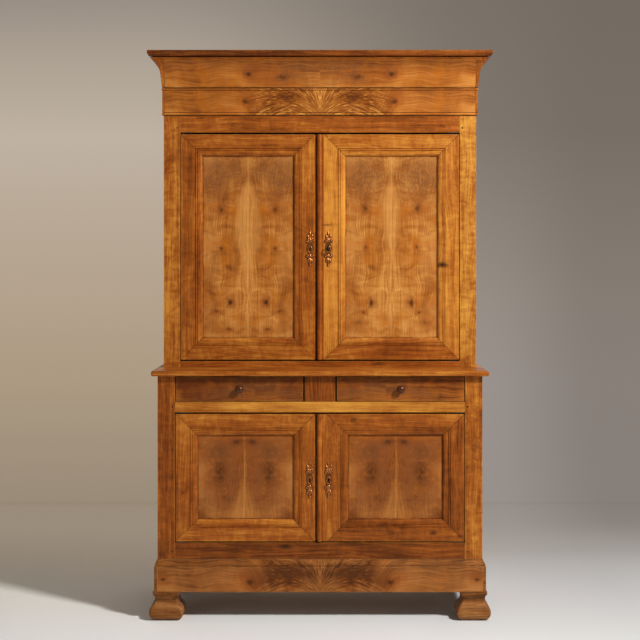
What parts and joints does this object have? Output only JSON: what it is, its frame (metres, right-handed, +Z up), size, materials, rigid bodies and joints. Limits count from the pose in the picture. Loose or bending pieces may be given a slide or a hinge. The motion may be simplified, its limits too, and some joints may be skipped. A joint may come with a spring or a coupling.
{
  "type": "two-body cupboard cabinet",
  "caption": "Tall two-body fruitwood cabinet: panelled doors above, drawers over shorter panelled doors below, coved cornice, waist board, plinth and cushion feet.",
  "frame": {"origin": "on the floor, in the middle of the plan of the whole cabinet", "axes": "+X to the right of someone who faces the doors, +Y to the back, +Z up"},
  "size_m": [1.414, 0.591, 2.296],
  "materials": {
    "waxed_fruitwood": "solid cherry-like fruitwood, aged, wax polished to a satin",
    "figured_fruitwood": "book-matched and burr-figured fruitwood, wax polished to a satin",
    "secondary_softwood": "planed poplar or pine, unpolished and aged",
    "stamped_brass": "thin stamped brass, reddish gold, slightly tarnished",
    "forged_iron": "dark waxed iron",
    "dark_turned_wood": "turned fruitwood stained dark, polished"
  },
  "bodies": {
    "carcass": {"feet": "waxed_fruitwood", "plinth_front": "figured_fruitwood", "plinth_sides": "waxed_fruitwood", "base_front_posts": "waxed_fruitwood", "base_side_frames": "waxed_fruitwood", "base_side_panels": "waxed_fruitwood", "base_bottom_rail": "waxed_fruitwood", "base_middle_rail": "waxed_fruitwood", "drawer_divider": "waxed_fruitwood", "base_bottom_board": "secondary_softwood", "base_back_boards": "secondary_softwood", "base_shelf": "secondary_softwood", "drawer_runners": "secondary_softwood", "waist_board": "waxed_fruitwood", "upper_front_posts": "waxed_fruitwood", "upper_side_frames": "waxed_fruitwood", "upper_side_panels": "waxed_fruitwood", "upper_bottom_rail": "waxed_fruitwood", "upper_top_rail": "waxed_fruitwood", "upper_bottom_board": "secondary_softwood", "upper_ceiling_board": "secondary_softwood", "upper_back_boards": "secondary_softwood", "upper_shelves": "secondary_softwood", "shelf_cleats": "secondary_softwood", "frieze": "figured_fruitwood", "cornice_cove": "figured_fruitwood", "cornice_top": "waxed_fruitwood", "frame_pegs": "waxed_fruitwood", "pivot_sockets": "forged_iron"},
    "upper_left_door": {"upper_left_door_frame": "waxed_fruitwood", "upper_left_door_panel": "figured_fruitwood", "upper_left_door_escutcheon": "stamped_brass", "upper_left_door_ironwork": "forged_iron"},
    "upper_left_door_bolt": {"upper_left_door_bolt": "forged_iron"},
    "upper_right_door": {"upper_right_door_frame": "waxed_fruitwood", "upper_right_door_panel": "figured_fruitwood", "upper_right_door_escutcheon": "stamped_brass", "upper_right_door_ironwork": "forged_iron", "upper_right_door_bead_strip": "waxed_fruitwood", "upper_right_door_lock_case": "forged_iron"},
    "upper_right_door_lock_bolt": {"upper_right_door_lock_bolt": "forged_iron"},
    "lower_left_door": {"lower_left_door_frame": "waxed_fruitwood", "lower_left_door_panel": "figured_fruitwood", "lower_left_door_escutcheon": "stamped_brass", "lower_left_door_ironwork": "forged_iron"},
    "lower_left_door_bolt": {"lower_left_door_bolt": "forged_iron"},
    "lower_right_door": {"lower_right_door_frame": "waxed_fruitwood", "lower_right_door_panel": "figured_fruitwood", "lower_right_door_escutcheon": "stamped_brass", "lower_right_door_ironwork": "forged_iron", "lower_right_door_bead_strip": "waxed_fruitwood", "lower_right_door_lock_case": "forged_iron"},
    "lower_right_door_lock_bolt": {"lower_right_door_lock_bolt": "forged_iron"},
    "key": {"key": "forged_iron"},
    "left_drawer": {"left_drawer_front": "figured_fruitwood", "left_drawer_box": "secondary_softwood", "left_drawer_knob": "dark_turned_wood"},
    "right_drawer": {"right_drawer_front": "figured_fruitwood", "right_drawer_box": "secondary_softwood", "right_drawer_knob": "dark_turned_wood"}
  },
  "joints": [
    {"name": "upper_left_door_swing", "type": "hinge", "parent": "carcass", "child": "upper_left_door", "pos_m": [-0.562, -0.0975, 1.49225], "axis": [0, 0, -1], "range_deg": [0, 115]},
    {"name": "upper_left_door_bolt_slide", "type": "slide", "parent": "upper_left_door", "child": "upper_left_door_bolt", "axis": [0, 0, 1], "range_m": [0, 0.014]},
    {"name": "upper_right_door_swing", "type": "hinge", "parent": "carcass", "child": "upper_right_door", "pos_m": [0.562, -0.0975, 1.49225], "axis": [0, 0, 1], "range_deg": [0, 115]},
    {"name": "upper_right_door_lock_bolt_throw", "type": "slide", "parent": "upper_right_door", "child": "upper_right_door_lock_bolt", "axis": [-1, 0, 0], "range_m": [0, 0.018]},
    {"name": "lower_left_door_swing", "type": "hinge", "parent": "carcass", "child": "lower_left_door", "pos_m": [-0.565, -0.2575, 0.5665], "axis": [0, 0, -1], "range_deg": [0, 115]},
    {"name": "lower_left_door_bolt_slide", "type": "slide", "parent": "lower_left_door", "child": "lower_left_door_bolt", "axis": [0, 0, 1], "range_m": [0, 0.014]},
    {"name": "lower_right_door_swing", "type": "hinge", "parent": "carcass", "child": "lower_right_door", "pos_m": [0.565, -0.2575, 0.5665], "axis": [0, 0, 1], "range_deg": [0, 115]},
    {"name": "lower_right_door_lock_bolt_throw", "type": "slide", "parent": "lower_right_door", "child": "lower_right_door_lock_bolt", "axis": [-1, 0, 0], "range_m": [0, 0.018]},
    {"name": "key_turn", "type": "hinge", "parent": "upper_right_door", "child": "key", "pos_m": [0.035, -0.1045, 1.4865], "axis": [0, 1, 0], "range_deg": [0, 180]},
    {"name": "left_drawer_slide", "type": "slide", "parent": "carcass", "child": "left_drawer", "axis": [0, -1, 0], "range_m": [0, 0.36]},
    {"name": "right_drawer_slide", "type": "slide", "parent": "carcass", "child": "right_drawer", "axis": [0, -1, 0], "range_m": [0, 0.36]}
  ],
  "couplings": [
    {"joint": "upper_right_door_lock_bolt_throw", "follows": "key_turn", "m_per_rad": 0.005698}
  ]
}
